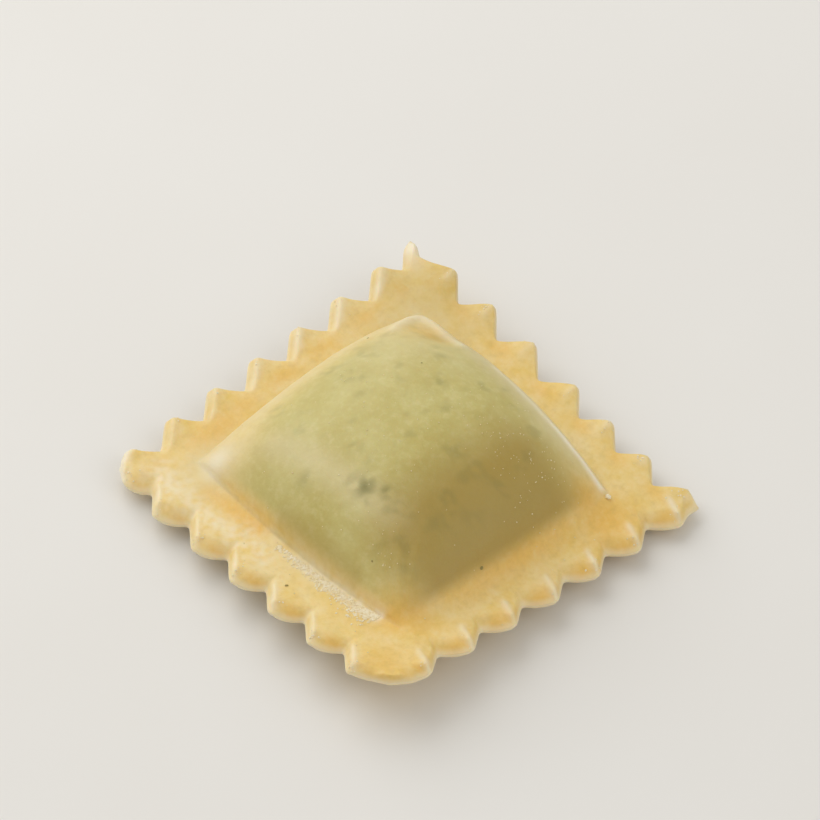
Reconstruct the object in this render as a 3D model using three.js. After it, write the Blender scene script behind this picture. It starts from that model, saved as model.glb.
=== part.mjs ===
// A filled pasta square with a pinked (fluted) edge: one closed solid, in millimetres, +Z up.
// It lies on the flat spot under its filling. South is -Y, east is +X, north is +Y, west is -X.
// The solid is turned as a round blank, and each ring of the blank is then pulled out square.
import * as THREE from "three";

// The whole piece, measured over the tips of the teeth.
const TIP_HALF_X = 23.4;
const TIP_HALF_Y = 22.9;

// The pillow of filling inside the rim. It lies a little off the middle.
const PILLOW_HALF_X = 17.2;
const PILLOW_HALF_Y = 16.3;
const PILLOW_MIDDLE = new THREE.Vector2(0.2, 0.95);
const PILLOW_RISE = 10.4;
const CROWN_POWER = 2.2;
const CROWN_ROOT = 0.62;

// The two sheets of dough, pressed together round the filling.
const RIM_THICKNESS = 1.7;
const EDGE_THICKNESS = 1.4;

// The teeth that the wheel cuts, and the flutes that it presses into the rim behind them.
// A side's run of teeth is measured from its west or south end.
const TEETH_PER_SIDE = 7;
const TOOTH_DEPTH = 2.4;
const TIP_ROUNDING = 0.12;
const ROOT_DEPTH = 3.0;
const FLUTE_RISE = 0.5;
const FLUTE_FULL = 0.6;
const FLUTE_FADE = 5.4;
const RUNS = {
  south: { firstTip: 2.9, pitch: 6.35 },
  east: { firstTip: 6.5, pitch: 5.95 },
  north: { firstTip: 6.1, pitch: 6.4 },
  west: { firstTip: 3.5, pitch: 5.95 },
};

// Each corner point stands in from the square of the tips by in. Its notches are the shallow
// valleys between it and the nearest tooth, on the side along X and the side along Y. Its flute
// is its share of the flutes' rise, its curl is how far it has curled up, and its pull is how
// far the pillow's own corner is drawn in, as a share of the pillow's half size.
const CORNERS = {
  southWest: { in: [2.1, 2.0], notches: [0.1, 0], flute: -0.3, curl: 0.8, pull: 0.03 },
  southEast: { in: [2.1, 2.6], notches: [-0.3, -0.2], flute: -0.8, curl: 1.9, pull: 0.035 },
  northEast: { in: [0.7, 0.4], notches: [0, 0.8], flute: 0.3, curl: 0.7, pull: 0.1 },
  northWest: { in: [0.3, 1.5], notches: [0.7, 1.6], flute: 1.4, curl: 0, pull: 0.05 },
};

// The piece has warped as it dried, into a slight saddle.
const SADDLE = 2.2;

// The underside: its flat spot, as a share of the pillow, and how far the rim's middle clears
// whatever the piece lies on.
const FLAT_SPOT = 0.5;
const REST_CLEARANCE = 2.4;

// Fineness of the mesh: columns run round the piece, rings run from the flat spot to the crown.
// A pillow ring is a share of the pillow's size, a rim ring a share of the way to the root of
// the teeth, and a tooth ring a share of the way from there to the cut edge.
const STEPS_PER_FLANK = 4;
const STEPS_PER_CORNER = 4;
const UNDERSIDE_RINGS = [0, FLAT_SPOT, 0.68, 0.84, 1];
const TOOTH_RINGS = [0.55, 0];
const RIM_RINGS = [0.5, 0];
const PILLOW_RINGS = [0.985, 0.955, 0.905, 0.83, 0.73, 0.6, 0.44, 0.24, 0];

const DOUGH_COLOUR = 0xdcc27c;
const DOUGH_ROUGHNESS = 0.6;

const { lerp, smoothstep } = THREE.MathUtils;

// 0 at a tip and 1 in a valley, with both a little rounded.
function toothWave(distance, run) {
  const phase = (distance - run.firstTip) / run.pitch;
  const wave = Math.abs(2 * (phase - Math.round(phase)));
  return lerp(wave, (1 - Math.cos(Math.PI * wave)) / 2, TIP_ROUNDING);
}

// The crest of a flute runs in from each tip, and its trough from each valley.
function fluteWave(distance, run) {
  return Math.cos((2 * Math.PI * (distance - run.firstTip)) / run.pitch);
}

// Share of the flutes' rise at a depth in from the line of the tips.
function fluteShare(depth) {
  return 1 - smoothstep(depth, FLUTE_FULL, FLUTE_FADE);
}

// Stations from a corner point (part 0) to the nearest tip (part 1), the tip left out.
function cornerStations(corner, tip) {
  const stations = [];
  for (let step = 0; step < STEPS_PER_CORNER; step++) {
    const part = step / STEPS_PER_CORNER;
    stations.push({
      distance: lerp(corner.along, tip, part),
      depth: corner.across * (1 - part) + corner.notch * Math.sin(Math.PI * part),
      flute: lerp(corner.flute, 1, smoothstep(part, 0, 1)),
    });
  }
  return stations;
}

// Stations from the first tip of a side to its last.
function toothStations(run) {
  const stations = [];
  const flanks = 2 * (TEETH_PER_SIDE - 1);
  for (let step = 0; step <= flanks * STEPS_PER_FLANK; step++) {
    const distance = run.firstTip + (step * run.pitch) / 2 / STEPS_PER_FLANK;
    const depth = TOOTH_DEPTH * toothWave(distance, run);
    stations.push({ distance, depth, flute: fluteWave(distance, run) });
  }
  return stations;
}

// The columns of one side, from its west or south corner point to the other. A column has its
// place on the cut edge, its place at the root of the teeth, its place on the unit square that
// the pillow's rings follow, and its share of the flutes' rise.
function sideColumns(side, startName, endName) {
  const alongX = side === "south" || side === "north";
  const sign = side === "south" || side === "west" ? -1 : 1;
  const half = alongX ? TIP_HALF_X : TIP_HALF_Y;
  const reach = alongX ? TIP_HALF_Y : TIP_HALF_X;
  const run = RUNS[side];
  const lastTip = run.firstTip + (TEETH_PER_SIDE - 1) * run.pitch;
  const axis = alongX ? 0 : 1;
  const [start, end] = [CORNERS[startName], CORNERS[endName]].map((corner) => ({
    along: corner.in[axis],
    across: corner.in[1 - axis],
    notch: corner.notches[axis],
    flute: corner.flute,
  }));
  end.along = 2 * half - end.along;
  const stations = [
    ...cornerStations(start, run.firstTip),
    ...toothStations(run),
    ...cornerStations(end, lastTip).reverse(),
  ];
  const valleys = [run.firstTip + run.pitch / 2, lastTip - run.pitch / 2];
  const rootDistance = (distance) => {
    const atStart = distance < valleys[0];
    const valley = atStart ? valleys[0] : Math.min(distance, valleys[1]);
    if (!atStart && distance <= valleys[1]) {
      return distance;
    }
    const corner = atStart ? start.along : end.along;
    const root = atStart ? ROOT_DEPTH : 2 * half - ROOT_DEPTH;
    return lerp(valley, root, (distance - valley) / (corner - valley));
  };
  const place = (along, across) =>
    alongX ? new THREE.Vector2(along, sign * across) : new THREE.Vector2(sign * across, along);
  return stations.map(({ distance, depth, flute }) => ({
    edge: place(distance - half, reach - depth),
    root: place(rootDistance(distance) - half, reach - ROOT_DEPTH),
    unit: place((2 * (distance - start.along)) / (end.along - start.along) - 1, 1),
    depth,
    flute,
  }));
}

// All columns, counter-clockwise as seen from above, each corner point once.
function allColumns() {
  const south = sideColumns("south", "southWest", "southEast");
  const east = sideColumns("east", "southEast", "northEast");
  const north = sideColumns("north", "northWest", "northEast").reverse();
  const west = sideColumns("west", "southWest", "northWest").reverse();
  return [south, east, north, west].flatMap((side) => side.slice(0, -1));
}

// Height of the warped rim over the flat one.
function warp(x, y) {
  const u = x / TIP_HALF_X;
  const v = y / TIP_HALF_Y;
  const nearness = (east, north) => Math.max(0, (east * u + north * v) / 2) ** 3;
  return (
    -SADDLE * u * v +
    CORNERS.southWest.curl * nearness(-1, -1) +
    CORNERS.southEast.curl * nearness(1, -1) +
    CORNERS.northEast.curl * nearness(1, 1) +
    CORNERS.northWest.curl * nearness(-1, 1)
  );
}

// Share of the full rise at a place t from the middle (0) to the crease (1) of the pillow.
function crown(t) {
  return (1 - Math.min(1, Math.abs(t)) ** CROWN_POWER) ** CROWN_ROOT;
}

// A place on the pillow's ring of the given size: a square whose corners are drawn in a little.
function pillowPlace({ x, y }, ring) {
  const corner = CORNERS[(y < 0 ? "south" : "north") + (x < 0 ? "West" : "East")];
  const size = ring * (1 - corner.pull * (x * y * ring) ** 2);
  return new THREE.Vector2(PILLOW_HALF_X * x, PILLOW_HALF_Y * y).multiplyScalar(size).add(PILLOW_MIDDLE);
}

function pillowTop(one, ring) {
  const { x, y } = pillowPlace(one.unit, ring);
  const rise = PILLOW_RISE * crown(one.unit.x * ring) * crown(one.unit.y * ring);
  return new THREE.Vector3(x, y, REST_CLEARANCE + warp(x, y) + RIM_THICKNESS + rise);
}

// A place on the rim, at a depth in from the line of the tips and a height over the rim's lower
// face.
function rimPlace({ x, y }, one, depth, height) {
  const flute = FLUTE_RISE * one.flute * fluteShare(depth);
  return new THREE.Vector3(x, y, REST_CLEARANCE + warp(x, y) + flute + height);
}

// The rim between the pillow's crease (0) and the root of the teeth (1).
function rimTop(one, out) {
  const place = pillowPlace(one.unit, 1).lerp(one.root, out);
  return rimPlace(place, one, lerp(FLUTE_FADE, ROOT_DEPTH, out), RIM_THICKNESS);
}

// The teeth between their root (0) and the cut edge (1).
function toothTop(one, out) {
  const place = one.root.clone().lerp(one.edge, out);
  const thickness = lerp(RIM_THICKNESS, EDGE_THICKNESS, out);
  return rimPlace(place, one, lerp(ROOT_DEPTH, one.depth, out), thickness);
}

// The underside: level on the flat spot, then rising to the rim.
function underside(one, ring) {
  const { x, y } = pillowPlace(one.unit, ring);
  return new THREE.Vector3(x, y, smoothstep(ring, FLAT_SPOT, 1) * (REST_CLEARANCE + warp(x, y)));
}

// The rings from the flat spot, out to the cut edge, and back over the rim to the crown. Each has
// its radius and height on the round blank, and a function that places one column of it.
function allRings() {
  const ring = (radius, level, place) => ({ radius, level, place });
  return [
    ...UNDERSIDE_RINGS.map((size) => ring(size, 0, (one) => underside(one, size))),
    ring(3, 0, (one) => rimPlace(one.edge, one, one.depth, 0)),
    ring(3, 1, (one) => toothTop(one, 1)),
    ...TOOTH_RINGS.map((out) => ring(2 + out, 1, (one) => toothTop(one, out))),
    ...RIM_RINGS.map((out) => ring(1 + out, 1, (one) => rimTop(one, out))),
    ...PILLOW_RINGS.map((size) => ring(size, 1, (one) => pillowTop(one, size))),
  ];
}

// Turns the blank, then moves each of its vertices to its place on the square piece.
function ravioloGeometry() {
  const columns = allColumns();
  const rings = allRings();
  const profile = rings.map((ring) => new THREE.Vector2(ring.radius, ring.level));
  const geometry = new THREE.LatheGeometry(profile, columns.length);
  const position = geometry.getAttribute("position");
  for (let c = 0; c <= columns.length; c++) {
    rings.forEach((ring, r) => {
      const { x, y, z } = ring.place(columns[c % columns.length]);
      position.setXYZ(c * rings.length + r, x, y, z);
    });
  }
  geometry.computeVertexNormals();
  return geometry;
}

// Moves the piece so that the middle of its box stands over the origin.
function centre(geometry) {
  geometry.computeBoundingBox();
  const middle = geometry.boundingBox.getCenter(new THREE.Vector3());
  return geometry.translate(-middle.x, -middle.y, 0);
}

const dough = new THREE.MeshStandardMaterial({
  color: DOUGH_COLOUR,
  roughness: DOUGH_ROUGHNESS,
  metalness: 0,
});

const raviolo = new THREE.Mesh(centre(ravioloGeometry()), dough);
raviolo.name = "raviolo";

const part = new THREE.Group();
part.add(raviolo);

export default part;
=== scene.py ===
# %% [markdown]
# # A square of filled pasta with a pinked edge
# Two sheets of egg dough are pressed together round a spoonful of herb filling, and a fluted
# wheel cuts the square out, which leaves teeth on all four sides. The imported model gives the
# size and the place of the whole piece. This lesson makes the surface that the eye sees: the
# teeth and flutes of the rim, the taut dough over the filling, and what lies on it.

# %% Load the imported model
import math
import random

import bmesh
import bpy
from mathutils import Euler, Matrix, Vector, noise
from mathutils.bvhtree import BVHTree


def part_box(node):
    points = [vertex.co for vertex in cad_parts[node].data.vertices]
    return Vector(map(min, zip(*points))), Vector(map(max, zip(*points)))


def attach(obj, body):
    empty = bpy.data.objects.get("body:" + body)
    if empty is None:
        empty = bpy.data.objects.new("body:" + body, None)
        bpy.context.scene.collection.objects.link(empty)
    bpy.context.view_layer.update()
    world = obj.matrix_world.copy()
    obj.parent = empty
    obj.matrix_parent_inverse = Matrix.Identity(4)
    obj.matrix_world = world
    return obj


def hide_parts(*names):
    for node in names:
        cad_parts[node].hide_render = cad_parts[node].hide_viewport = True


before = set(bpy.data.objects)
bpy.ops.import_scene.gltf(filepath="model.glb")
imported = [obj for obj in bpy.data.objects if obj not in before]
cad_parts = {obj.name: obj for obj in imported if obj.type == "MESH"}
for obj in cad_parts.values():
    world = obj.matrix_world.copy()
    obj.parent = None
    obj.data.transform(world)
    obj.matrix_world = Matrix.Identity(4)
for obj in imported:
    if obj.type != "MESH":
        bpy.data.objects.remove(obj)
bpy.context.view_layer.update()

MM = 0.001
low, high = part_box("raviolo")
TIP_HALF_X = high.x / MM
TIP_HALF_Y = high.y / MM
tall = (high.z - low.z) / MM
print(f"over the tips {2 * TIP_HALF_X:.1f} x {2 * TIP_HALF_Y:.1f} mm, {tall:.1f} mm high")

# %% [markdown]
# ## Camera, floor and light
# A long lens from well back keeps the four sides of the square nearly parallel. It looks down
# at about 50 degrees on the south-east corner, and two small shifts frame the piece without
# turning the camera. Setting the view transform to Standard keeps the pale dough pale. A pale
# sky fills the shadows and two softboxes give the shape. The larger one stands on the west
# side, so that the east face of the filling falls into a soft shade of its own.

# %% Camera
CAMERA_AZIMUTH = math.radians(49)
CAMERA_ELEVATION = math.radians(50.5)
CAMERA_DISTANCE = 600 * MM
CAMERA_TARGET = Vector((0, 0, 2.4)) * MM


def direction(azimuth, elevation):
    """Unit vector towards a place round the piece: azimuth 0 is in front, at -Y."""
    level = math.cos(elevation)
    return Vector((math.sin(azimuth) * level, -math.cos(azimuth) * level, math.sin(elevation)))


def aim(thing, place, target):
    """Stands a camera or a light at a place and turns it to a target."""
    thing.location = place
    thing.rotation_euler = (place - target).to_track_quat("Z", "Y").to_euler()


camera = bpy.data.objects.new("camera", bpy.data.cameras.new("camera"))
camera_place = CAMERA_TARGET + CAMERA_DISTANCE * direction(CAMERA_AZIMUTH, CAMERA_ELEVATION)
camera.data.lens = 244.3
camera.data.shift_x = 0.0098
camera.data.shift_y = 0.0939
camera.data.clip_start = 50 * MM
aim(camera, camera_place, CAMERA_TARGET)
bpy.context.scene.collection.objects.link(camera)
bpy.context.scene.camera = camera
bpy.context.scene.view_settings.view_transform = "Standard"
print(f"camera {CAMERA_DISTANCE / MM:.0f} mm from the piece")

# %% Light and floor
LIGHTS = {
    "key": {"azimuth": -84, "elevation": 42, "distance": 500, "size": 620, "watts": 1.78},
    "fill": {"azimuth": 110, "elevation": 38, "distance": 600, "size": 400, "watts": 0.55},
}
WORLD_STRENGTH = 0.56


def soft_light(name, azimuth, elevation, distance, size, watts):
    """A square softbox, sizes in millimetres and angles in degrees."""
    lamp = bpy.data.lights.new(name, "AREA")
    lamp.size = size * MM
    lamp.energy = watts
    lamp_object = bpy.data.objects.new(name, lamp)
    towards = direction(math.radians(azimuth), math.radians(elevation))
    aim(lamp_object, CAMERA_TARGET + distance * MM * towards, CAMERA_TARGET)
    bpy.context.scene.collection.objects.link(lamp_object)


for name, settings in LIGHTS.items():
    soft_light(name, **settings)

world = bpy.data.worlds.new("studio")
world.use_nodes = True
world.node_tree.nodes["Background"].inputs["Color"].default_value = (1, 0.985, 0.96, 1)
world.node_tree.nodes["Background"].inputs["Strength"].default_value = WORLD_STRENGTH
bpy.context.scene.world = world
print("lights:", ", ".join(LIGHTS))

# %% [markdown]
# ## The plan of the square
# Each side has seven teeth, cut by rolling the wheel along it, so the teeth of one side keep a
# steady pitch but start wherever the wheel happened to start. A side is described by the line
# through its tips: "distance" runs along that line, and "depth" is how far in from it a place
# lies. The corner points stand in a little from both lines. The sides are named like the
# edges of a map: north is +Y and east is +X. One tooth could be modelled and repeated, but a
# hand-rolled edge is never so even, so each side has its own pitch, lean and odd teeth.

# %% Teeth and corners
TEETH_PER_SIDE = 7
TOOTH_DEPTH = 2.4
TIP_ROUNDING = 0.12

# in: how far the corner point stands in, along X and along Y. outlines: the points of the cut
# edge between it and the nearest teeth, on its X side and on its Y side, each as a distance from
# the corner of the tips' lines, a depth and a share of the flutes' rise. flute: the corner
# point's own share. curl: how far it has curled up. pull: how far the pillow's corner is drawn in.
CORNERS = {
    "south_west": {
        "in": (1.15, 1.9),
        "outlines": [[(2.0, 1.35, 0)], [(2.6, 0.45, 0)]],
        "flute": -0.3, "curl": 0.8, "pull": 0.03,
    },
    "south_east": {
        "in": (2.1, 2.6),
        "outlines": [[(3.6, 1.6, -0.3)], [(4.2, 0.8, 0)]],
        "flute": -0.8, "curl": 1.9, "pull": 0.06,
    },
    "north_east": {
        "in": (0.8, 0.4),
        "outlines": [[], [(1.9, 0.8, 0.2)]],
        "flute": 0.3, "curl": 0.7, "pull": 0.1,
    },
    "north_west": {
        "in": (-0.2, 1.2),
        "outlines": [[(0.55, 0.95, 1), (2.0, 1.7, 0)], [(2.2, 0, 1), (4.1, 1.9, -0.5)]],
        "flute": 1.4, "curl": 0.6, "pull": 0.08,
    },
}
print("corners:", ", ".join(CORNERS))

# %% [markdown]
# Soft shapes are built from a few curves: a step that eases in and out, a bell, and the same
# bell about a point or about a line on the plan. They serve for heights and for colours alike.

# %% Curves for soft shapes


def lerp(a, b, part):
    return a + (b - a) * part


def clamp(value, lowest=0.0, highest=1.0):
    return min(highest, max(lowest, value))


def smoothstep(value, start, end):
    part = clamp((value - start) / (end - start))
    return part * part * (3 - 2 * part)


def bump_at(value, middle, width):
    """A smooth bell, 1 at the middle and nearly 0 two widths away."""
    return math.exp(-(((value - middle) / width) ** 2))


def near_path(x, y, points, width):
    """A smooth bell about a line of points: 1 on the line and fading past its width."""
    here = Vector((x, y))
    nearest = 9 * width
    for start, end in zip(points, points[1:]):
        start, run = Vector(start), Vector(end) - Vector(start)
        part = clamp((here - start).dot(run) / run.length_squared)
        nearest = min(nearest, (here - start - run * part).length)
    return bump_at(nearest, 0, width)


def blob(x, y, middle, radius, stretch=1.0, turn=0.0):
    """A soft round or long patch: 1 in its middle and fading past its radius."""
    dx, dy = x - middle[0], y - middle[1]
    c, s = math.cos(math.radians(turn)), math.sin(math.radians(turn))
    along, across = (dx * c + dy * s) / stretch, dy * c - dx * s
    return math.exp(-(along * along + across * across) / radius**2)


# %% [markdown]
# A side knows its teeth and the two corners it joins. It turns a place on the plan into a
# distance and a depth and back, and says where its cut edge runs.

# %% What a side is


class Side:
    """One side of the square: its run of teeth and the two corner points that it joins."""

    def __init__(
        self, name, along_x, sign, first_tip, pitch, crest, slants, bulges, thin, uneven=None
    ):
        self.name = name
        self.along_x = along_x
        self.sign = sign
        self.pitch = pitch
        self.crest = crest
        self.slants = slants
        self.bulges = bulges
        self.thin = thin
        self.half = TIP_HALF_X if along_x else TIP_HALF_Y
        self.reach = TIP_HALF_Y if along_x else TIP_HALF_X
        uneven = uneven or {}
        self.tips = [
            (first_tip + step * pitch + uneven.get(step, (0, 0))[0], uneven.get(step, (0, 0))[1])
            for step in range(TEETH_PER_SIDE)
        ]
        self.first_tip = self.tips[0][0]
        self.last_tip = self.tips[-1][0]

    def join(self, start, end):
        """Lists the points of its cut edge, with the outlines of the corners at its two ends."""
        axis = 0 if self.along_x else 1
        near, far = [
            [
                (corner["in"][axis], corner["in"][1 - axis], corner["flute"]),
                *corner["outlines"][axis],
            ]
            for corner in (CORNERS[start], CORNERS[end])
        ]
        teeth = []
        for tip, following in zip(self.tips, self.tips[1:]):
            teeth += [(*tip, 1), ((tip[0] + following[0]) / 2, TOOTH_DEPTH, -1)]
        far = [(2 * self.half - distance, depth, wave) for distance, depth, wave in reversed(far)]
        self.marks = [*near, *teeth, (*self.tips[-1], 1), *far]
        return self

    def phase(self, distance):
        """Place between the tips, 0 at a tip and 0.5 either way in a valley."""
        turns = (distance - self.first_tip) / self.pitch
        for (start, _), (end, _) in zip(self.tips, self.tips[1:]):
            if start <= distance <= end:
                turns = (distance - start) / (end - start)
        return turns - round(turns)

    def between(self, distance):
        """The points of the cut edge before and after a distance, and the part of the way."""
        for start, end in zip(self.marks, self.marks[1:]):
            if distance <= end[0]:
                break
        return start, end, clamp((distance - start[0]) / (end[0] - start[0]))

    def edge_depth(self, distance):
        """How far in from the tips' line the cut edge lies."""
        start, end, part = self.between(distance)
        depth = lerp(start[1], end[1], lerp(part, smoothstep(part, 0, 1), TIP_ROUNDING))
        if self.first_tip <= distance <= self.last_tip:
            bulge = self.bulges[0 if self.phase(distance) < 0 else 1]
            depth -= bulge * math.sin(math.pi * part)
        return depth

    def slant(self, distance):
        """Width of the pinched face along the cut edge, on the flanks before and after a tip."""
        before, after = self.slants
        if self.first_tip <= distance <= self.last_tip:
            turn = math.sin(2 * math.pi * self.phase(distance))
            return lerp(before, after, smoothstep(turn, -0.4, 0.4))
        if distance < self.first_tip:
            part = (distance - self.marks[0][0]) / (self.first_tip - self.marks[0][0])
            return lerp(after, before, smoothstep(part, 0.3, 0.7))
        part = (self.marks[-1][0] - distance) / (self.marks[-1][0] - self.last_tip)
        return lerp(before, after, smoothstep(part, 0.3, 0.7))

    def crest_share(self, distance, depth):
        """How much of the pale crest, or of the pale cut flap, lies at a place: 0 to 1."""
        crest = self.crest
        leaned = distance + crest["lean"] * depth
        if not self.first_tip - 0.5 * self.pitch <= leaned <= self.last_tip + 0.5 * self.pitch:
            return 0
        across = self.phase(leaned) - crest["offset"]
        fading = 1 - smoothstep(depth, crest["reach"] - 1.4, crest["reach"])
        return bump_at(across, 0, crest["width"]) * fading

    def thin_share(self, distance, depth):
        """How much of the thin, translucent trough behind a tread lies at a place: 0 to 1."""
        if not self.first_tip - 1 <= distance <= self.last_tip + 1:
            return 0
        thin = self.thin
        across = self.phase(distance - thin["phase"] * self.pitch) * self.pitch / thin["length"]
        return math.exp(-across * across - ((depth - thin["depth"]) / thin["width"]) ** 2)

    def measure(self, x, y):
        """Distance along the side and depth in from it, of a place on the plan."""
        along, across = (x, y) if self.along_x else (y, x)
        return along + self.half, self.reach - self.sign * across

    def place(self, distance, depth):
        """The place on the plan at a distance along the side and a depth in from it."""
        along, across = distance - self.half, self.sign * (self.reach - depth)
        return Vector((along, across)) if self.along_x else Vector((across, along))


# %% The four sides
# crest: the pale ridge that runs in from each tip. It leans along the side by a share of its
# depth and lies off the tip by an offset; offset and width are shares of the pitch.
# slants: the width of the pinched face along the cut edge, before and after a tip. bulges: how
# far the flanks before and after a tip swell out of a straight line.
# thin: where the trough of each tread is thinnest. uneven: teeth that stand off the steady run,
# by a distance along the side and a depth.
SIDES = {
    "south": Side(
        "south", along_x=True, sign=-1, first_tip=2.9, pitch=6.35,
        crest={"lean": 1.03, "offset": 0.09, "width": 0.1, "reach": 3.8, "rise": 0.16, "pale": 0.78},
        slants=(0.8, 1.9),
        bulges=(0, 0.5),
        thin={"phase": 0.33, "depth": 1.7, "length": 1.5, "width": 0.8, "share": 0.75},
        uneven={0: (0.2, 0.75), 1: (-0.3, 0)},
    ).join("south_west", "south_east"),
    "east": Side(
        "east", along_x=False, sign=1, first_tip=6.5, pitch=5.95,
        crest={"lean": -0.33, "offset": 0, "width": 0.07, "reach": 4.0, "rise": 0.22, "pale": 0.8},
        slants=(1.9, 0.6),
        bulges=(0.3, 0),
        thin={"phase": -0.22, "depth": 1.3, "length": 1.5, "width": 1.2, "share": 0.8},
    ).join("south_east", "north_east"),
    "north": Side(
        "north", along_x=True, sign=1, first_tip=6.1, pitch=6.4,
        crest={"lean": 0, "offset": 0.04, "width": 0.07, "reach": 2.6, "rise": 0.1, "pale": 0.4},
        slants=(0.5, 0.35),
        bulges=(0.1, 0),
        thin={"phase": -0.28, "depth": 3.2, "length": 1.8, "width": 1.1, "share": 0.6},
        uneven={
            0: (0, -0.2), 1: (-0.2, -0.4), 2: (0, -0.5),
            3: (0.8, -0.3), 4: (0.4, 0), 6: (-0.6, -0.3),
        },
    ).join("north_west", "north_east"),
    "west": Side(
        "west", along_x=False, sign=-1, first_tip=3.5, pitch=5.95,
        crest={"lean": 1.1, "offset": 0.2, "width": 0.15, "reach": 4.0, "rise": 0.2, "pale": 0.85},
        slants=(1.2, 0.6),
        bulges=(0, 0.2),
        thin={"phase": 0.2, "depth": 4.2, "length": 2.2, "width": 1.1, "share": 0.62},
        uneven={step: (0, -0.3) for step in range(1, 7)},
    ).join("south_west", "north_west"),
}
for side in SIDES.values():
    print(f"{side.name}: {TEETH_PER_SIDE} teeth, {side.pitch} mm apart, from {side.first_tip} mm")

# %% [markdown]
# ## Heights
# The piece has dried a little, so its rim is warped like a slight saddle. On top of the warp
# come the flutes that the wheel presses in, and the pillow of filling. Every height is a
# function of the place on the plan, so the teeth, the flutes and the masks for the colours
# always agree. Sculpting by hand would give the same shape, but nothing in it could be
# measured or changed afterwards.

# %% Warp and flutes
SADDLE = 2.2
REST_CLEARANCE = 2.4
RIM_THICKNESS = 1.7
FLUTE_RISE = 0.36
FLUTE_FULL = 0.4
FLUTE_FADE = 4.6
# The flutes are pressed flatter about the north-east corner.
FLAT_CORNER = (23, 22)
FLAT_CORNER_RADIUS = 8
FLAT_CORNER_SHARE = 0.6


def warp(x, y):
    """Height of the warped rim over a flat one."""
    u, v = x / TIP_HALF_X, y / TIP_HALF_Y
    height = -SADDLE * u * v
    for name, corner in CORNERS.items():
        east = 1 if name.endswith("east") else -1
        north = 1 if name.startswith("north") else -1
        height += corner["curl"] * max(0, (east * u + north * v) / 2) ** 3
    return height


def flute_share(depth):
    """Share of the flutes' rise at a depth in from the tips' line."""
    return 1 - smoothstep(depth, FLUTE_FULL, FLUTE_FADE)


def flute_wave(side, distance):
    """Broad wave of the flutes at the cut edge: 1 at a tip, -1 in a valley."""
    start, end, part = side.between(distance)
    return lerp(start[2], end[2], (1 - math.cos(math.pi * part)) / 2)


def flutes(x, y):
    """Rise of the flutes and of the crests at a place, from all four sides."""
    total, rise = 0, 0
    for side in SIDES.values():
        distance, depth = side.measure(x, y)
        share = flute_share(depth)
        if share > 0:
            total += share
            ridge = side.crest["rise"] * side.crest_share(distance, depth)
            rise += share * (share * FLUTE_RISE * flute_wave(side, distance) + ridge)
    flat = FLAT_CORNER_SHARE * blob(x, y, FLAT_CORNER, FLAT_CORNER_RADIUS)
    return rise / total * (1 - flat) if total else 0


# %% Pillow
PILLOW_HALF_X = 17.2
PILLOW_HALF_Y = 16.3
PILLOW_MIDDLE = Vector((0.2, 0.95))
PILLOW_RISE = 10.4
CROWN_POWER = 2.2
CROWN_ROOT = 0.62
FLAT_SPOT = 0.5
print(f"pillow {2 * PILLOW_HALF_X} x {2 * PILLOW_HALF_Y} mm, rising {PILLOW_RISE} mm from the rim")


def pillow_place(a, b):
    """Place of a pillow point; a and b run from -1 to 1 between the creases."""
    ring = max(abs(a), abs(b), 1e-6)
    corner = CORNERS[f"{'south' if b < 0 else 'north'}_{'west' if a < 0 else 'east'}"]
    size = 1 - corner["pull"] * (a * b / ring) ** 2
    return Vector((PILLOW_HALF_X * a, PILLOW_HALF_Y * b)) * size + PILLOW_MIDDLE


def crown(part):
    """Share of the full rise, from the middle (0) to the crease (1)."""
    return (1 - min(1, abs(part)) ** CROWN_POWER) ** CROWN_ROOT


def ripple(x, y, scale, seed):
    """Smooth noise between about -1 and 1 whose humps are about a scale apart."""
    return noise.noise(Vector((x / scale, y / scale, seed)))


# %% [markdown]
# ## The sheet of dough as a grid
# The whole piece is one closed skin, and it starts as a flat grid. Extruding the grid gives an
# upper and a lower sheet joined by a wall, and subdividing the wall gives it rows that can be
# rounded. The grid's corner squares become the corners of the rim, its middle becomes the
# pillow, and a grid line is led to every tip and every valley, so that the teeth come out crisp.
# A cloth simulation over a lump of filling could drape the dough, but it wouldn't keep the
# teeth and the pinched rim where the cutter left them.

# %% Grid lines to the tips and valleys
GRID = 212
PILLOW_LINES = 78
WALL_ROWS = 3
EDGE_CROWDING = 1.35
ROUNDING_PASSES = 4


def edge_stations(side):
    """Distances along a side at which the grid's lines meet the cut edge."""
    marks = [distance for distance, depth, wave in side.marks]
    lines = [round(GRID * (mark - marks[0]) / (marks[-1] - marks[0])) for mark in marks]
    stations = []
    for line, following, mark, target in zip(lines, lines[1:], marks, marks[1:]):
        steps = following - line
        stations += [lerp(mark, target, step / steps) for step in range(steps)]
    return [*stations, marks[-1]]


def rounded(points, passes):
    """Rounds the corners off a line of points, but keeps its two ends."""
    for _ in range(passes):
        inner = [(a + 2 * b + c) / 4 for a, b, c in zip(points, points[1:], points[2:])]
        points = [points[0], *inner, points[-1]]
    return points


EDGE_POINTS = {
    name: rounded([side.place(d, side.edge_depth(d)) for d in edge_stations(side)], ROUNDING_PASSES)
    for name, side in SIDES.items()
}
EDGE_SLANTS = {
    name: [side.slant(distance) for distance in edge_stations(side)]
    for name, side in SIDES.items()
}
print(f"{GRID} grid squares a side, {2 * PILLOW_LINES} of them over the filling")

# %% Where a grid point lies
# A flank of a tooth is this much nearer square on than along the grid line that ends on it.
FLANK_SLOPE = 0.8


def outward(line):
    """How far out a grid line lies, from the crease (0) to the cut edge (1), and its sign."""
    offset = line - GRID / 2
    part = max(0, (abs(offset) - PILLOW_LINES) / (GRID / 2 - PILLOW_LINES))
    return 1 - (1 - part) ** EDGE_CROWDING, (1 if offset > 0 else -1)


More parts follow.
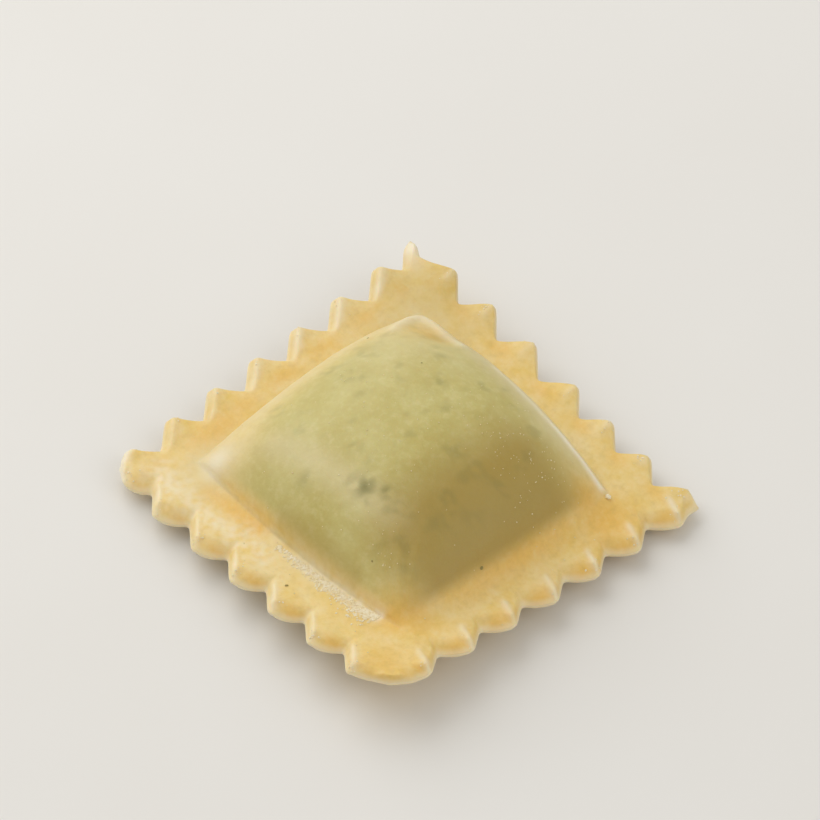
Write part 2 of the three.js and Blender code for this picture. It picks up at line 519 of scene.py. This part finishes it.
def plan_place(column, row):
    """Where a grid point lies: its place on the plan, its pillow coordinates, how far it is out
    from the pillow's crease, and how far up the pinched face of the cut edge (0 at the edge)."""
    half = GRID / 2
    a = clamp((column - half) / PILLOW_LINES, -1, 1)
    b = clamp((row - half) / PILLOW_LINES, -1, 1)
    inner = pillow_place(a, b)
    out_x, sign_x = outward(column)
    out_y, sign_y = outward(row)
    side_x = "east" if sign_x > 0 else "west"
    side_y = "north" if sign_y > 0 else "south"
    edge_x, edge_y = EDGE_POINTS[side_x], EDGE_POINTS[side_y]
    near_column = round(half + sign_x * PILLOW_LINES)
    near_row = round(half + sign_y * PILLOW_LINES)
    apex = edge_x[0 if sign_y < 0 else GRID]
    if not out_x and not out_y:
        place = inner
    elif not out_x:
        place = inner.lerp(edge_y[column], out_y)
    elif not out_y:
        place = inner.lerp(edge_x[row], out_x)
    else:
        across_x = inner.lerp(edge_x[near_row], out_x)
        across_y = inner.lerp(edge_y[near_column], out_y)
        place = across_x * (1 - out_y) + edge_y[column] * out_y
        place += across_y * (1 - out_x) + edge_x[row] * out_x
        place -= inner * (1 - out_x) * (1 - out_y) + edge_x[near_row] * out_x * (1 - out_y)
        place -= edge_y[near_column] * (1 - out_x) * out_y + apex * out_x * out_y
    near_x, near_y = 0, 0
    if out_x:
        from_edge = (edge_x[row] - place).length
        near_x = 1 - clamp(FLANK_SLOPE * from_edge / EDGE_SLANTS[side_x][row])
    if out_y:
        from_edge = (edge_y[column] - place).length
        near_y = 1 - clamp(FLANK_SLOPE * from_edge / EDGE_SLANTS[side_y][column])
    up_face = 1 - min(1, (near_x**4 + near_y**4) ** 0.25)
    crease = (place - inner).length or -(1 - max(abs(a), abs(b))) * PILLOW_HALF_Y
    return {"place": place, "a": a, "b": b, "crease": crease, "up_face": up_face}


# %% [markdown]
# The upper sheet adds up the warp, the flutes, the pinched edge and the pillow with its folds;
# the lower sheet is flat under the filling and follows the rim outside it.

# %% Heights of the upper and the lower sheet
EDGE_DROP = 0.9
EDGE_LIFT = 0.3
PINCH_POWER = 1.7
FOOT_START = 0.95
FOOT_END = 1.117
# Folds of the taut dough, as lines on the plan: one round the pillow's north-west tip, with a
# pocket beside it, and one along its north shoulder.
CORNER_FOLD = [(-12.8, 9.9), (-14.6, 13.8), (-14.2, 15.2), (-12.6, 15.4), (-6.3, 14.2)]
CORNER_FOLD_RISE = 0.5
NORTH_FOLD = [(-2, 15.2), (6, 14.9), (11, 14.95), (15.2, 15.1)]
NORTH_FOLD_RISE = 0.35
POCKET = (-9.8, 13.5)
POCKET_DEPTH = 1.1
# The fan of fine pulls: where it starts, which way it opens and how many there are to a turn.
WRINKLE_START = (16.8, -14.8)
WRINKLE_ANGLE = math.radians(140)
WRINKLES_PER_TURN = 24
WRINKLE_RISE = 0.09


def pinched(up_face):
    """Share of the pinch at a place on the pinched face: 1 at the cut edge, 0 where it starts."""
    return (1 - up_face) ** PINCH_POWER


def pillow_profile(a, b, crease):
    """Share of the pillow's rise; its east foot runs out onto the rim in a soft hollow."""
    if a == 1 and crease > 0:
        a += crease / PILLOW_HALF_X
    across = crown(a)
    if a > FOOT_START:
        across = crown(FOOT_START) * clamp((FOOT_END - a) / (FOOT_END - FOOT_START)) ** 2
    return across * crown(b)


def wrinkles(x, y):
    """Pulls in the taut dough that fan out from the south-east corner of the pillow."""
    dx, dy = x - WRINKLE_START[0], y - WRINKLE_START[1]
    reach = math.hypot(dx, dy)
    turn = math.atan2(dy, dx) - WRINKLE_ANGLE
    fading = bump_at(reach, 6.5, 3.2) * bump_at(turn, 0, 0.4)
    return WRINKLE_RISE * math.cos(WRINKLES_PER_TURN * turn) * fading


def upper_height(x, y, plan):
    a, b, crease = plan["a"], plan["b"], plan["crease"]
    height = REST_CLEARANCE + warp(x, y) + RIM_THICKNESS + flutes(x, y)
    height -= EDGE_DROP * pinched(plan["up_face"])
    height += PILLOW_RISE * pillow_profile(a, b, crease)
    height += 0.06 * ripple(x, y, 2.6, 3.1) + 0.025 * ripple(x, y, 0.9, 8.4)
    if crease < 0:
        lumps = 0.25 * ripple(x, y, 6.5, 5.5) + 0.07 * ripple(x, y, 2.2, 1.7)
        height += (lumps + wrinkles(x, y)) * min(1, -crease / 3)
        height -= POCKET_DEPTH * blob(x, y, POCKET, 2.3, 1.3, 10)
        height += CORNER_FOLD_RISE * near_path(x, y, CORNER_FOLD, 0.8)
        height += NORTH_FOLD_RISE * near_path(x, y, NORTH_FOLD, 0.5) * smoothstep(x, 0, 9)
    return height


def lower_height(x, y, plan):
    ring = max(abs(plan["a"]), abs(plan["b"]))
    lifted = REST_CLEARANCE + warp(x, y) + flutes(x, y) + EDGE_LIFT * pinched(plan["up_face"])
    return smoothstep(ring, FLAT_SPOT, 1) * lifted


# %% Make the skin
WALL_BULGE = 0.12


def grid_index(coordinate):
    return round((coordinate + 1) / 2 * GRID)


def make_skin():
    """The closed skin: returns its bmesh in millimetres and the plan of each vertex."""
    skin = bmesh.new()
    bmesh.ops.create_grid(skin, x_segments=GRID, y_segments=GRID, size=1)
    raised = bmesh.ops.extrude_face_region(skin, geom=list(skin.faces))
    upper = [item for item in raised["geom"] if isinstance(item, bmesh.types.BMVert)]
    bmesh.ops.translate(skin, verts=upper, vec=(0, 0, 1))
    uprights = [edge for edge in skin.edges if abs(edge.verts[0].co.z - edge.verts[1].co.z) > 0.5]
    bmesh.ops.subdivide_edges(skin, edges=uprights, cuts=WALL_ROWS, use_grid_fill=True)
    plans = {}
    data = []
    for vertex in skin.verts:
        column, row, level = grid_index(vertex.co.x), grid_index(vertex.co.y), vertex.co.z
        if (column, row) not in plans:
            plan = plan_place(column, row)
            plan["top"] = upper_height(*plan["place"], plan)
            plan["bottom"] = lower_height(*plan["place"], plan)
            plans[column, row] = plan
        plan = plans[column, row]
        push = WALL_BULGE * math.sqrt(math.sin(math.pi * clamp(level, 0.04, 0.96)))
        push_x = push * (-1 if column == 0 else 1 if column == GRID else 0)
        push_y = push * (-1 if row == 0 else 1 if row == GRID else 0)
        x, y = plan["place"]
        vertex.co = (x + push_x, y + push_y, lerp(plan["bottom"], plan["top"], level))
        data.append({**plan, "level": level})
    bmesh.ops.recalc_face_normals(skin, faces=skin.faces)
    return skin, data


skin, skin_data = make_skin()
print(f"skin: {len(skin.verts)} points, {len(skin.faces)} faces")

# %% [markdown]
# ## Masks for the colours
# The colour of pasta is a matter of thickness. Over the filling the dough is thin and the green
# shows through; in the creases and the troughs of the flutes it is translucent and orange; where
# it has been stretched, cut or floured it is dry and whitish. Some masks paint light and shade
# as well: painted shade on the east wall and in the creases and hollows, and a painted highlight
# and sheen on the walls, crests and folds that face the light. Noise alone couldn't know where
# that is, so each is painted as a soft mask on the points of the mesh, and the material mixes
# its colours by them. Places and sizes are in millimetres on the plan; a and b are the pillow's
# own coordinates.

# %% Over the filling


def mask_filling(x, y, plan):
    """Where the dough is thin over the herb filling and its green shows through."""
    a, b = plan["a"], plan["b"]
    if plan["crease"] > 0 or plan["level"] < 0.5:
        return 0
    west = smoothstep(a, -0.97, -0.6)
    east = 1 - smoothstep(a, 0.8, 0.99)
    north = 1 - smoothstep(b, 0.86, 0.99)
    south = smoothstep(b, -1.0, -0.93)
    value = west * east * north * south
    # The four tips of the pillow are plain dough.
    value *= 1 - 0.85 * blob(x, y, (-14.5, -13.5), 4.2)
    value *= 1 - 0.95 * blob(x, y, (-12.5, 13.5), 4.4)
    value *= 1 - 0.8 * blob(x, y, (15.5, -14.0), 4.0)
    value *= 1 - 0.7 * blob(x, y, (15.0, 13.5), 3.6)
    return clamp(value)


# %% Thin and translucent
POCKET_FLOOR = (-9.3, 13.8)


def mask_orange(x, y, plan):
    """Where the dough is thin and translucent behind the treads, and painted shade and glow in the
    hollows.
    """
    value = 0
    for side in SIDES.values():
        distance, depth = side.measure(x, y)
        if depth < 8:
            value = max(value, side.thin["share"] * side.thin_share(distance, depth))
    hollows = [
        # Painted shade and glow in the foot of the pillow: east, south and west.
        0.85 * blob(x, y, (17.2, 1.5), 1.5, 7.0, 90),
        0.9 * near_path(x, y, [(-12.6, -16.6), (-9, -16.4), (-5, -16.1)], 1.3),
        0.9 * blob(x, y, (-18.6, -11.0), 1.8, 2.6, 90),
        # Its south-east and north-east tips, and the rim beside them.
        0.9 * blob(x, y, (15.0, -13.8), 2.6, 1.7, 35),
        0.55 * blob(x, y, (19.6, -19.2), 3.4),
        0.9 * blob(x, y, (15.6, 12.4), 2.6),
        0.95 * blob(x, y, (18.4, 13.0), 3.8),
        0.95 * blob(x, y, POCKET_FLOOR, 2.2, 1.4, 10),
    ]
    dry_corner = blob(x, y, (-17, -19), 5)
    return clamp(max(value, *hollows) * lerp(1, 0.4, dry_corner))


# %% Dry and floury
CRUMB_STRIP = [(-1.5, -16.3), (5, -16.0), (11, -15.65), (13.7, -15.1)]


def mask_flour_and_highlight(x, y, plan):
    """Where the dough is dry and whitish, partly with a painted highlight towards the light: the cut
    edge, the crests and the cut flaps.
    """
    level = plan["level"]
    cut_face = 1 - smoothstep(plan["up_face"], 0, 0.35)
    value = 0.7 * cut_face * (1 - smoothstep(level, 0.8, 1.3))
    for side in SIDES.values():
        distance, depth = side.measure(x, y)
        if depth < 5:
            # The pale crests: partly dry dough and partly a painted highlight.
            pale = side.crest["pale"] * lerp(0.7, 1, ripple(x, y, 1.3, 6.6))
            if side.name == "west":
                pale *= lerp(0.4, 1, smoothstep(distance, 8, 26))
            value = max(value, pale * side.crest_share(distance, depth))
    # The fin of the north-west corner and the cut cap of the south-west one.
    value = max(value, 0.95 * blob(x, y, (-22.6, 21.0), 1.3, 1.5, 150))
    value = max(value, near_path(x, y, [(-23.2, -19.0), (-22.2, -21.2), (-20.6, -22.2)], 0.7))
    if level > 0.5:
        # A painted highlight on the folds and the south-west tip, then the flour in the south crease
        # and on its rim.
        value = max(value, near_path(x, y, NORTH_FOLD, 0.42) * lerp(0.5, 1, smoothstep(x, 4, 10)))
        value = max(value, 0.75 * blob(x, y, (-14.3, -14.0), 1.5))
        value = max(value, 0.5 * near_path(x, y, CORNER_FOLD, 0.8))
        flour = clamp(0.75 + 0.8 * ripple(x, y, 0.7, 9.1)) * smoothstep(x, -3, 3)
        value = max(value, flour * near_path(x, y, CRUMB_STRIP, 0.75))
        patches = clamp(0.55 + 0.9 * ripple(x, y, 0.7, 2.2)) * (1 - smoothstep(x, -4, 8))
        patches *= 1 - 0.8 * near_path(x, y, [(-13.5, -16.6), (-9, -16.4)], 1.6)
        value = max(value, 0.6 * patches * near_path(x, y, [(-18, -19.0), (-2, -18.3)], 2.4))
    return clamp(value)


# %% Stretched dough, painted light and painted shade
# The line along the south crease where shade is painted.
SOUTH_HOLLOW = [(-2.5, -14.7), (2, -14.5), (9, -14.2)]


def mask_stretch_and_light(x, y, plan):
    """Paler dough, partly stretched and partly painted light: the walls towards the light,
    the pillow's tips and its shoulder, and a painted sheen on its top.
    """
    if plan["level"] < 0.5:
        return 0
    a, b = plan["a"], plan["b"]
    # The west and north walls, towards the light, are painted light.
    west = smoothstep(-a, 0.7, 0.97) * (plan["crease"] < 0.2)
    north = smoothstep(b, 0.62, 0.9) * (plan["crease"] < 0.1)
    north *= 1 - blob(x, y, POCKET_FLOOR, 2.4, 1.4, 10)
    north *= 1 - 0.9 * blob(x, y, (15.2, 12.6), 3.6)
    tip = blob(x, y, (-14.3, -13.8), 3.6)
    # A painted sheen on the top.
    top = 0.4 * blob(x, y, (-8.5, 8), 6)
    far_tip = 0.5 * blob(x, y, (-14.5, 15), 4.5)
    # A painted sheen along the south shoulder.
    shoulder = 0.75 * bump_at(y, -9.3 + 0.12 * x, 1.9)
    shoulder *= smoothstep(x, -13, -8) * (1 - smoothstep(x, 3, 13))
    return clamp(max(west, north, tip, far_tip, top, shoulder))


def mask_shade(x, y, plan):
    """Painted shade: the east wall away from the light, the hollow along the south crease, the
    pocket and the far corner.
    """
    if plan["level"] < 0.5:
        return 0
    # Painted shade on the rim at the far corner.
    far = 0.36 * blob(x, y, (-16, 17.5), 7)
    if plan["crease"] > 0:
        return far
    a = plan["a"]
    # Painted shade on the east wall, in the south hollow and in the pocket.
    east = smoothstep(a, 0.15, 0.6) * (1 - smoothstep(a, 0.92, 1.0))
    east *= 1 - smoothstep(abs(y), 8, 15)
    south = 0.45 * near_path(x, y, SOUTH_HOLLOW, 1.1)
    pocket = 0.5 * blob(x, y, POCKET_FLOOR, 1.8)
    return clamp(max(east, south, pocket, far))


# %% Herb leaves under the dough
# The largest leaves: where they lie, their size and how dark they show.
HERBS = [
    (3.7, -8.3, 1.1, 1.0), (5.8, -7.3, 0.8, 0.8), (4.8, -9.2, 0.5, 0.7), (-8.8, 0.3, 1.0, 0.5),
    (-7.4, 0.9, 0.6, 0.5), (-1.1, 6.1, 0.9, 0.5), (-7.4, -7.9, 0.7, 0.4), (-11.0, 4.5, 0.8, 0.4),
    (-2.6, -11.4, 0.8, 0.35), (7.0, 1.5, 1.2, 0.3), (11.5, -5.5, 1.1, 0.35), (-4.5, 9.5, 0.8, 0.35),
]


def mask_herbs(x, y, plan):
    """Dark leaves of the filling, blurred by the dough over them."""
    if plan["crease"] > 0 or plan["level"] < 0.5:
        return 0
    ragged = clamp(0.75 + 1.6 * ripple(x, y, 0.8, 12.5))
    leaves = [dark * blob(x, y, (left, up), radius) for left, up, radius, dark in HERBS]
    faint = 0.28 * smoothstep(ripple(x, y, 2.1, 4.4), 0.2, 0.6)
    faint *= 1 - smoothstep(max(abs(plan["a"]), abs(plan["b"])), 0.7, 0.88)
    return clamp(max(*leaves, faint) * ragged)


# %% Paint the masks and make the mesh
MASKS = {
    "filling": mask_filling,
    "orange": mask_orange,
    "flour_and_highlight": mask_flour_and_highlight,
    "stretch_and_light": mask_stretch_and_light,
    "shade": mask_shade,
    "herbs": mask_herbs,
}


def finish_skin(skin, data):
    """Paints the skin, scales it to metres and returns its object."""
    for name, mask in MASKS.items():
        layer = skin.verts.layers.float.new(name)
        for vertex, plan in zip(skin.verts, data):
            vertex[layer] = mask(vertex.co.x, vertex.co.y, plan)
        strong = sum(vertex[layer] > 0.5 for vertex in skin.verts) / len(skin.verts)
        print(f"{name}: strong on {strong:.1%} of the points")
    bmesh.ops.scale(skin, verts=skin.verts, vec=(MM, MM, MM))
    for face in skin.faces:
        face.smooth = True
    mesh = bpy.data.meshes.new("dough")
    skin.to_mesh(mesh)
    return bpy.data.objects.new("dough", mesh)


dough = finish_skin(skin, skin_data)
bpy.context.scene.collection.objects.link(dough)
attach(dough, "root")
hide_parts("raviolo")
surface = BVHTree.FromBMesh(skin)
skin.free()
print(f"dough: {2 * len(dough.data.polygons)} triangles")

# %% [markdown]
# ## The dough's material
# One material covers the whole skin, because it is one dough. It starts from the colour of the
# rim and lays the masks over it. Noise of three sizes breaks the colours up: broad clouds,
# patches and the fine mottling of durum semolina. Light goes a little way into dough, so the
# shader has some subsurface scattering, but the colours carry the look without it.

# %% Small helpers for materials


def colour(code):
    """A colour from its six hex digits, as the linear values that a shader takes."""
    channels = [int(code[start:start + 2], 16) / 255 for start in (0, 2, 4)]
    return (*[c / 12.92 if c <= 0.04045 else ((c + 0.055) / 1.055) ** 2.4 for c in channels], 1)


class Recipe:
    """A material's node tree, with short ways to add to it."""

    def __init__(self, name):
        self.material = bpy.data.materials.new(name)
        self.material.use_nodes = True
        self.tree = self.material.node_tree
        self.shader = self.tree.nodes["Principled BSDF"]
        self.place = self.add("ShaderNodeTexCoord").outputs["Object"]

    def add(self, kind, **settings):
        made = self.tree.nodes.new(kind)
        for key, value in settings.items():
            setattr(made, key, value)
        return made

    def feed(self, socket, value):
        """Links an output to a socket, or sets the socket's own value."""
        if isinstance(value, bpy.types.NodeSocket):
            self.tree.links.new(value, socket)
        else:
            socket.default_value = value

    def mask(self, name):
        return self.add("ShaderNodeAttribute", attribute_name=name).outputs["Fac"]

    def cloud(self, size, detail=2.0, roughness=0.5):
        """Noise whose humps are about a size apart, in millimetres; 0 to 1."""
        made = self.add("ShaderNodeTexNoise")
        self.feed(made.inputs["Vector"], self.place)
        made.inputs["Scale"].default_value = 1 / (size * MM)
        made.inputs["Detail"].default_value = detail
        made.inputs["Roughness"].default_value = roughness
        return made.outputs["Fac"]

    def span(self, value, start, end, to_start=0.0, to_end=1.0):
        """Maps start..end to to_start..to_end, clamped."""
        made = self.add("ShaderNodeMapRange", clamp=True)
        self.feed(made.inputs["Value"], value)
        for socket, number in zip(made.inputs[1:5], (start, end, to_start, to_end)):
            socket.default_value = number
        return made.outputs["Result"]

    def maths(self, operation, first, second):
        made = self.add("ShaderNodeMath", operation=operation)
        self.feed(made.inputs[0], first)
        self.feed(made.inputs[1], second)
        return made.outputs[0]

    def mix(self, share, under, over):
        """Lays one colour over another."""
        made = self.add("ShaderNodeMix", data_type="RGBA")
        self.feed(made.inputs["Factor"], share)
        self.feed(made.inputs[6], under)
        self.feed(made.inputs[7], over)
        return made.outputs[2]

    def relief(self, height, distance):
        """Bumps whose full height is a distance, in millimetres."""
        made = self.add("ShaderNodeBump")
        made.inputs["Distance"].default_value = distance * MM
        self.feed(made.inputs["Height"], height)
        self.feed(self.shader.inputs["Normal"], made.outputs["Normal"])


# %% Fresh egg dough
# The masks laid over the mottled dough, one over the other: each with its share and its colour.
LAYERS = [
    # painted shade
    ("shade", 0.85, "a68a3a"),
    # stretched dough and painted light
    ("stretch_and_light", 0.65, "dccd9f"),
    # dry flour and painted highlight
    ("flour_and_highlight", 0.85, "f1e8d0"),
    ("herbs", 0.8, "7b763a"),
]


def egg_dough():
    recipe = Recipe("fresh egg dough")
    clouds = recipe.cloud(6.0, 3)
    patches = recipe.cloud(2.3, 3, 0.6)
    mottle = recipe.cloud(0.9, 4, 0.65)
    base = recipe.mix(recipe.span(patches, 0.3, 0.7), colour("ead293"), colour("e6c66f"))
    base = recipe.mix(recipe.span(clouds, 0.5, 0.75, 0, 0.4), base, colour("e6d39e"))
    base = recipe.mix(recipe.mask("orange"), base, colour("e6b957"))
    green = recipe.mix(recipe.span(clouds, 0.3, 0.7), colour("cac07d"), colour("bcad5e"))
    green = recipe.mix(recipe.span(patches, 0.4, 0.75, 0, 0.5), green, colour("c6b86e"))
    base = recipe.mix(recipe.mask("filling"), base, green)
    base = recipe.mix(recipe.span(mottle, 0.5, 0.75, 0, 0.2), base, colour("f0e4bd"))
    base = recipe.mix(recipe.span(mottle, 0.5, 0.28, 0, 0.2), base, colour("b5964a"))
    for name, share, code in LAYERS:
        covered = recipe.maths("MULTIPLY", recipe.mask(name), share)
        base = recipe.mix(covered, base, colour(code))
    recipe.feed(recipe.shader.inputs["Base Color"], base)
    recipe.feed(recipe.shader.inputs["Roughness"], recipe.span(mottle, 0.3, 0.7, 0.42, 0.6))
    recipe.shader.inputs["Subsurface Weight"].default_value = 0.25
    recipe.shader.inputs["Subsurface Radius"].default_value = (1.0, 0.6, 0.25)
    recipe.shader.inputs["Subsurface Scale"].default_value = 1.2 * MM
    recipe.relief(recipe.cloud(0.35, 3), 0.03)
    return recipe.material


dough.data.materials.append(egg_dough())
print("dough material mixes", ", ".join(MASKS))

# %% [markdown]
# ## What lies on the dough
# A dusting of semolina, the crumbs that the cutting wheel left and a few specks of dried herb
# lie on the dough. Dots in the material would look flat from the side, and one object for each
# grain would be hard to handle, so each kind is one mesh of many small lumps. A lump is a
# pebble with a few flat faces, dropped straight down onto the surface and turned to lie along
# it.

# %% Drop lumps onto the dough
chance = random.Random(27)
DROP_FROM = 50


def add_lump(pile, x, y, size, flatness=0.7, sunk=0.3):
    """Adds a pebble of a size in millimetres; flatness is its height over its width."""
    place, normal, _, _ = surface.ray_cast(Vector((x, y, DROP_FROM)) * MM, Vector((0, 0, -1)))
    if place is None:
        return
    turn = Euler((0, 0, chance.uniform(0, 2 * math.pi))).to_matrix().to_4x4()
    shape = Matrix.Diagonal((size * MM, size * MM * chance.uniform(0.6, 1), size * MM * flatness, 1))
    stand = normal.to_track_quat("Z", "Y").to_matrix().to_4x4()
    lift = normal * size * MM * flatness * (0.5 - sunk)
    lump = bmesh.ops.create_icosphere(pile, subdivisions=1, radius=0.5)
    for vertex in lump["verts"]:
        vertex.co *= chance.uniform(0.88, 1.08)
    matrix = Matrix.Translation(place + lift) @ stand @ turn @ shape
    bmesh.ops.transform(pile, verts=lump["verts"], matrix=matrix)


def finish_pile(pile, name, material):
    mesh = bpy.data.meshes.new(name)
    pile.to_mesh(mesh)
    pile.free()
    mesh.materials.append(material)
    piece = bpy.data.objects.new(name, mesh)
    bpy.context.scene.collection.objects.link(piece)
    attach(piece, "root")
    print(f"{name}: {len(mesh.polygons)} triangles")


def dry_crumb(name, low_code, high_code):
    """Matt material whose colour wanders between two tones."""
    recipe = Recipe(name)
    blotches = recipe.span(recipe.cloud(0.5, 3), 0.35, 0.65)
    tone = recipe.mix(blotches, colour(low_code), colour(high_code))
    recipe.feed(recipe.shader.inputs["Base Color"], tone)
    recipe.shader.inputs["Roughness"].default_value = 0.7
    return recipe.material


# %% [markdown]
# ## Crumbs
# Pressing the crease rubbed off a strip of dry crumbs, dense along the south crease and thinning
# out onto the rim. The wheel left a few more on the tips, and one larger crumb sits where the
# north fold ends.

# %% Crumbs along the crease and at the cut edges
CRUMBS_IN_STRIP = 800
CRUMBS_ON_EDGES = 150
EDGES_CRUMBED = ("south", "south", "east", "north", "north", "west")
LARGE_CRUMB = (16.3, 15.1)


def along(points, part):
    """The place a part of the way along a line of points."""
    step = min(int(part * (len(points) - 1)), len(points) - 2)
    return Vector(points[step]).lerp(Vector(points[step + 1]), part * (len(points) - 1) - step)


crumbs = bmesh.new()
for _ in range(CRUMBS_IN_STRIP):
    part = chance.uniform(0, 1)
    middle = along(CRUMB_STRIP, part)
    spread = 0.4 + 0.5 * smoothstep(part, 0.1, 0.6)
    off = 0.3 - abs(chance.gauss(0, spread))
    add_lump(crumbs, middle.x, middle.y + off, chance.uniform(0.12, 0.36), 0.5, 0.4)
for _ in range(CRUMBS_ON_EDGES):
    side = SIDES[chance.choice(EDGES_CRUMBED)]
    tip, tip_depth = chance.choice(side.tips)
    x, y = side.place(tip + chance.gauss(0, 0.4), tip_depth + 0.3 + abs(chance.gauss(0, 1.0)))
    add_lump(crumbs, x, y, chance.uniform(0.12, 0.3), 0.6, 0.4)
add_lump(crumbs, *LARGE_CRUMB, 0.8)
finish_pile(crumbs, "crumbs", dry_crumb("dry crumbs", "f0e6ca", "e5d4a6"))

# %% [markdown]
# ## Semolina and herbs
# Fresh pasta is dusted so that it doesn't stick, and most of the grains roll off. What stays
# lies in loose patches, so the grains are thrown about a few middles instead of evenly. The
# herb specks are flat flakes, few enough to be placed one by one.

# %% Semolina dusted on
# Each dusting: its middle, how far it spreads and how many grains fall.
DUSTED = [
    ((9.5, 6.5), 2.6, 50), ((12.5, 10.5), 2.2, 30), ((4, 10), 3.5, 20), ((-6, 0), 7, 40),
    ((8, -6), 5, 30), ((0, -18.8), 7, 40), ((20, 4), 7, 30), ((10.8, -11.4), 0.8, 10),
]

semolina = bmesh.new()
for middle, spread, count in DUSTED:
    for _ in range(count):
        x, y = chance.gauss(middle[0], spread), chance.gauss(middle[1], spread * 0.6)
        add_lump(semolina, x, y, chance.uniform(0.09, 0.2))
finish_pile(semolina, "semolina", dry_crumb("semolina", "e9dfb8", "dccb94"))

# %% Specks of dried herb
# Each speck: its place and its size.
SPECKS = [
    (-13.8, 7.1, 0.3), (16.6, -3.3, 0.45), (9.6, -12.5, 0.3), (3.6, -19.3, 0.5), (-4.6, 6.8, 0.25),
]

specks = bmesh.new()
for x, y, size in SPECKS:
    add_lump(specks, x, y, size, 0.25, 0.2)
finish_pile(specks, "herb_specks", dry_crumb("dried herb", "857a3c", "a3935a"))

# %% [markdown]
# ## The floor
# A wide pale sheet with a matt, faintly uneven finish. A single plane is enough, because only
# its soft shadow matters. It isn't part of the object.

# %% Floor
FLOOR_HALF = 600


def make_floor():
    sheet = bmesh.new()
    bmesh.ops.create_grid(sheet, x_segments=1, y_segments=1, size=FLOOR_HALF * MM)
    mesh = bpy.data.meshes.new("floor")
    sheet.to_mesh(mesh)
    sheet.free()
    recipe = Recipe("matt paper")
    recipe.feed(
        recipe.shader.inputs["Base Color"],
        recipe.mix(recipe.cloud(30), colour("e6e3dd"), colour("e9e7e2")),
    )
    recipe.shader.inputs["Roughness"].default_value = 0.9
    mesh.materials.append(recipe.material)
    return bpy.data.objects.new("floor", mesh)


floor = make_floor()
bpy.context.scene.collection.objects.link(floor)
print(f"floor {2 * FLOOR_HALF} mm square")
